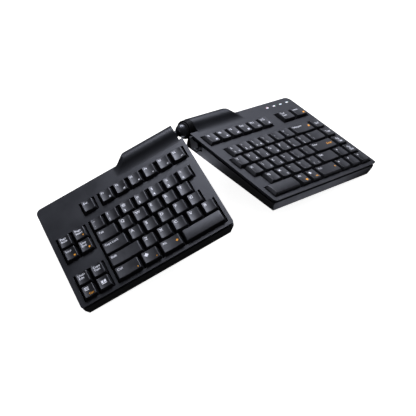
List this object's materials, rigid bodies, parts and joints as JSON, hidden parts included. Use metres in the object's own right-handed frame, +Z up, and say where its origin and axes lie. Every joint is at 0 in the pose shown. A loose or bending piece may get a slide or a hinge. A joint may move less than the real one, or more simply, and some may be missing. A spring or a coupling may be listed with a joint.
{
  "type": "ergonomic split keyboard",
  "caption": "Split computer keyboard in two tented halves, joined at the back by a lockable ball joint that sets the tent and the angle between them.",
  "frame": {"origin": "centre of the overall box in plan, at the level of the desk the keyboard stands on", "axes": "+X to the user's right along the keyboard, +Y away from the user towards the ball joint, +Z up"},
  "size_m": [0.413, 0.1834, 0.0928],
  "materials": {
    "case_plastic": "fine satin texture, charcoal",
    "base_plastic": "fine matt texture, near black",
    "key_plastic": "satin black with printed legends",
    "plate_plastic": "plain moulded black",
    "dome_rubber": "translucent grey silicone",
    "membrane_film": "printed polyester film",
    "plate_steel": "rolled zinc-plated sheet",
    "screw_steel": "zinc plated",
    "foot_rubber": "matt black rubber",
    "ball_black": "polished black",
    "bush_brass": "turned",
    "liner_nylon": "natural nylon",
    "collar_black": "semi-gloss black",
    "lever_black": "moulded black",
    "board_green": "solder-resist green",
    "light_white": "white lamp body",
    "lens_clear": "frosted clear"
  },
  "bodies": {
    "left_half": {"left_top_case": "case_plastic", "left_bottom_case": "base_plastic", "left_key_plate": "plate_plastic", "left_dome_sheet": "dome_rubber", "left_membrane": "membrane_film", "left_backing_plate": "plate_steel", "left_case_screws": "screw_steel", "left_feet": "foot_rubber", "stud_bush": "bush_brass"},
    "stud": {"ball_stud": "ball_black", "stud_nut": "screw_steel"},
    "socket_liner": {"socket_liner": "liner_nylon"},
    "right_half": {"right_top_case": "case_plastic", "right_bottom_case": "base_plastic", "right_key_plate": "plate_plastic", "right_dome_sheet": "dome_rubber", "right_membrane": "membrane_film", "right_backing_plate": "plate_steel", "right_case_screws": "screw_steel", "right_feet": "foot_rubber", "ribbed_collar": "collar_black", "lever_bearing": "liner_nylon", "control_board": "board_green", "indicator_lights": "light_white", "indicator_lenses": "lens_clear", "cable_gland": "foot_rubber"},
    "lock_lever": {"lock_lever": "lever_black"},
    "clamp_shoe": {"clamp_shoe": "screw_steel"},
    "escape_key": {"escape_key": "key_plastic"},
    "left_function_keys": {"left_function_keys": "key_plastic"},
    "left_number_keys": {"left_number_keys": "key_plastic"},
    "tab_key": {"tab_key": "key_plastic"},
    "left_upper_letter_keys": {"left_upper_letter_keys": "key_plastic"},
    "caps_lock_key": {"caps_lock_key": "key_plastic"},
    "left_home_letter_keys": {"left_home_letter_keys": "key_plastic"},
    "left_shift_key": {"left_shift_key": "key_plastic"},
    "left_lower_letter_keys": {"left_lower_letter_keys": "key_plastic"},
    "left_control_key": {"left_control_key": "key_plastic"},
    "left_system_key": {"left_system_key": "key_plastic"},
    "left_alt_key": {"left_alt_key": "key_plastic"},
    "left_space_key": {"left_space_key": "key_plastic"},
    "upper_edit_keys": {"upper_edit_keys": "key_plastic"},
    "lower_edit_keys": {"lower_edit_keys": "key_plastic"},
    "right_function_keys": {"right_function_keys": "key_plastic"},
    "screen_keys": {"screen_keys": "key_plastic"},
    "right_number_keys": {"right_number_keys": "key_plastic"},
    "backspace_key": {"backspace_key": "key_plastic"},
    "right_upper_letter_keys": {"right_upper_letter_keys": "key_plastic"},
    "backslash_key": {"backslash_key": "key_plastic"},
    "right_home_letter_keys": {"right_home_letter_keys": "key_plastic"},
    "enter_key": {"enter_key": "key_plastic"},
    "right_lower_letter_keys": {"right_lower_letter_keys": "key_plastic"},
    "right_shift_key": {"right_shift_key": "key_plastic"},
    "right_space_key": {"right_space_key": "key_plastic"},
    "right_alt_key": {"right_alt_key": "key_plastic"},
    "right_system_key": {"right_system_key": "key_plastic"},
    "right_control_key": {"right_control_key": "key_plastic"},
    "arrow_keys": {"arrow_keys": "key_plastic"},
    "navigation_keys": {"navigation_keys": "key_plastic"}
  },
  "joints": [
    {"name": "ball_twist", "type": "hinge", "parent": "left_half", "child": "stud", "pos_m": [0.00357, 0.06072, 0.08318], "axis": [0.9344, -0.1681, 0.314], "range_deg": [-5, 5]},
    {"name": "ball_tent", "type": "hinge", "parent": "stud", "child": "socket_liner", "pos_m": [0.00357, 0.06072, 0.08318], "axis": [0.1997, 0.9773, -0.071], "range_deg": [-37, 4]},
    {"name": "ball_splay", "type": "hinge", "parent": "socket_liner", "child": "right_half", "pos_m": [0.00357, 0.06072, 0.08318], "axis": [0.3306, 0.001, 0.9438], "range_deg": [-9, 8]},
    {"name": "lever_turn", "type": "hinge", "parent": "right_half", "child": "lock_lever", "pos_m": [0.01277, 0.03085, 0.07416], "axis": [-0.1583, 0.9859, 0.0544], "range_deg": [-2, 34]},
    {"name": "shoe_slide", "type": "slide", "parent": "right_half", "child": "clamp_shoe", "axis": [-0.1583, 0.9859, 0.0544], "range_m": [-0.0006, 0]},
    {"name": "escape_key_press", "type": "slide", "parent": "left_half", "child": "escape_key", "axis": [0.3187, 0.0011, -0.9479], "range_m": [0, 0.0035], "stiffness_N_per_m": 100, "springref_m": -0.002},
    {"name": "left_function_keys_press", "type": "slide", "parent": "left_half", "child": "left_function_keys", "axis": [0.3187, 0.0011, -0.9479], "range_m": [0, 0.0035], "stiffness_N_per_m": 600, "springref_m": -0.002},
    {"name": "left_number_keys_press", "type": "slide", "parent": "left_half", "child": "left_number_keys", "axis": [0.3187, 0.0011, -0.9479], "range_m": [0, 0.0035], "stiffness_N_per_m": 700, "springref_m": -0.002},
    {"name": "tab_key_press", "type": "slide", "parent": "left_half", "child": "tab_key", "axis": [0.3187, 0.0011, -0.9479], "range_m": [0, 0.0035], "stiffness_N_per_m": 100, "springref_m": -0.002},
    {"name": "left_upper_letter_keys_press", "type": "slide", "parent": "left_half", "child": "left_upper_letter_keys", "axis": [0.3187, 0.0011, -0.9479], "range_m": [0, 0.0035], "stiffness_N_per_m": 500, "springref_m": -0.002},
    {"name": "caps_lock_key_press", "type": "slide", "parent": "left_half", "child": "caps_lock_key", "axis": [0.3187, 0.0011, -0.9479], "range_m": [0, 0.0035], "stiffness_N_per_m": 100, "springref_m": -0.002},
    {"name": "left_home_letter_keys_press", "type": "slide", "parent": "left_half", "child": "left_home_letter_keys", "axis": [0.3187, 0.0011, -0.9479], "range_m": [0, 0.0035], "stiffness_N_per_m": 500, "springref_m": -0.002},
    {"name": "left_shift_key_press", "type": "slide", "parent": "left_half", "child": "left_shift_key", "axis": [0.3187, 0.0011, -0.9479], "range_m": [0, 0.0035], "stiffness_N_per_m": 100, "springref_m": -0.002},
    {"name": "left_lower_letter_keys_press", "type": "slide", "parent": "left_half", "child": "left_lower_letter_keys", "axis": [0.3187, 0.0011, -0.9479], "range_m": [0, 0.0035], "stiffness_N_per_m": 500, "springref_m": -0.002},
    {"name": "left_control_key_press", "type": "slide", "parent": "left_half", "child": "left_control_key", "axis": [0.3187, 0.0011, -0.9479], "range_m": [0, 0.0035], "stiffness_N_per_m": 100, "springref_m": -0.002},
    {"name": "left_system_key_press", "type": "slide", "parent": "left_half", "child": "left_system_key", "axis": [0.3187, 0.0011, -0.9479], "range_m": [0, 0.0035], "stiffness_N_per_m": 100, "springref_m": -0.002},
    {"name": "left_alt_key_press", "type": "slide", "parent": "left_half", "child": "left_alt_key", "axis": [0.3187, 0.0011, -0.9479], "range_m": [0, 0.0035], "stiffness_N_per_m": 100, "springref_m": -0.002},
    {"name": "left_space_key_press", "type": "slide", "parent": "left_half", "child": "left_space_key", "axis": [0.3187, 0.0011, -0.9479], "range_m": [0, 0.0035], "stiffness_N_per_m": 100, "springref_m": -0.002, "deforming": ["left_dome_sheet"]},
    {"name": "upper_edit_keys_press", "type": "slide", "parent": "left_half", "child": "upper_edit_keys", "axis": [0.3187, 0.0011, -0.9479], "range_m": [0, 0.0035], "stiffness_N_per_m": 400, "springref_m": -0.002},
    {"name": "lower_edit_keys_press", "type": "slide", "parent": "left_half", "child": "lower_edit_keys", "axis": [0.3187, 0.0011, -0.9479], "range_m": [0, 0.0035], "stiffness_N_per_m": 400, "springref_m": -0.002},
    {"name": "right_function_keys_press", "type": "slide", "parent": "right_half", "child": "right_function_keys", "axis": [-0.3306, -0.001, -0.9438], "range_m": [0, 0.0035], "stiffness_N_per_m": 600, "springref_m": -0.002},
    {"name": "screen_keys_press", "type": "slide", "parent": "right_half", "child": "screen_keys", "axis": [-0.3306, -0.001, -0.9438], "range_m": [0, 0.0035], "stiffness_N_per_m": 200, "springref_m": -0.002},
    {"name": "right_number_keys_press", "type": "slide", "parent": "right_half", "child": "right_number_keys", "axis": [-0.3306, -0.001, -0.9438], "range_m": [0, 0.0035], "stiffness_N_per_m": 600, "springref_m": -0.002},
    {"name": "backspace_key_press", "type": "slide", "parent": "right_half", "child": "backspace_key", "axis": [-0.3306, -0.001, -0.9438], "range_m": [0, 0.0035], "stiffness_N_per_m": 100, "springref_m": -0.002},
    {"name": "right_upper_letter_keys_press", "type": "slide", "parent": "right_half", "child": "right_upper_letter_keys", "axis": [-0.3306, -0.001, -0.9438], "range_m": [0, 0.0035], "stiffness_N_per_m": 700, "springref_m": -0.002},
    {"name": "backslash_key_press", "type": "slide", "parent": "right_half", "child": "backslash_key", "axis": [-0.3306, -0.001, -0.9438], "range_m": [0, 0.0035], "stiffness_N_per_m": 100, "springref_m": -0.002},
    {"name": "right_home_letter_keys_press", "type": "slide", "parent": "right_half", "child": "right_home_letter_keys", "axis": [-0.3306, -0.001, -0.9438], "range_m": [0, 0.0035], "stiffness_N_per_m": 600, "springref_m": -0.002},
    {"name": "enter_key_press", "type": "slide", "parent": "right_half", "child": "enter_key", "axis": [-0.3306, -0.001, -0.9438], "range_m": [0, 0.0035], "stiffness_N_per_m": 100, "springref_m": -0.002},
    {"name": "right_lower_letter_keys_press", "type": "slide", "parent": "right_half", "child": "right_lower_letter_keys", "axis": [-0.3306, -0.001, -0.9438], "range_m": [0, 0.0035], "stiffness_N_per_m": 500, "springref_m": -0.002},
    {"name": "right_shift_key_press", "type": "slide", "parent": "right_half", "child": "right_shift_key", "axis": [-0.3306, -0.001, -0.9438], "range_m": [0, 0.0035], "stiffness_N_per_m": 100, "springref_m": -0.002},
    {"name": "right_space_key_press", "type": "slide", "parent": "right_half", "child": "right_space_key", "axis": [-0.3306, -0.001, -0.9438], "range_m": [0, 0.0035], "stiffness_N_per_m": 100, "springref_m": -0.002, "deforming": ["right_dome_sheet"]},
    {"name": "right_alt_key_press", "type": "slide", "parent": "right_half", "child": "right_alt_key", "axis": [-0.3306, -0.001, -0.9438], "range_m": [0, 0.0035], "stiffness_N_per_m": 100, "springref_m": -0.002},
    {"name": "right_system_key_press", "type": "slide", "parent": "right_half", "child": "right_system_key", "axis": [-0.3306, -0.001, -0.9438], "range_m": [0, 0.0035], "stiffness_N_per_m": 100, "springref_m": -0.002},
    {"name": "right_control_key_press", "type": "slide", "parent": "right_half", "child": "right_control_key", "axis": [-0.3306, -0.001, -0.9438], "range_m": [0, 0.0035], "stiffness_N_per_m": 100, "springref_m": -0.002},
    {"name": "arrow_keys_press", "type": "slide", "parent": "right_half", "child": "arrow_keys", "axis": [-0.3306, -0.001, -0.9438], "range_m": [0, 0.0035], "stiffness_N_per_m": 400, "springref_m": -0.002},
    {"name": "navigation_keys_press", "type": "slide", "parent": "right_half", "child": "navigation_keys", "axis": [-0.3306, -0.001, -0.9438], "range_m": [0, 0.0035], "stiffness_N_per_m": 400, "springref_m": -0.002}
  ],
  "couplings": [
    {"joint": "lever_turn", "follows": "shoe_slide", "rad_per_m": -872.66}
  ]
}
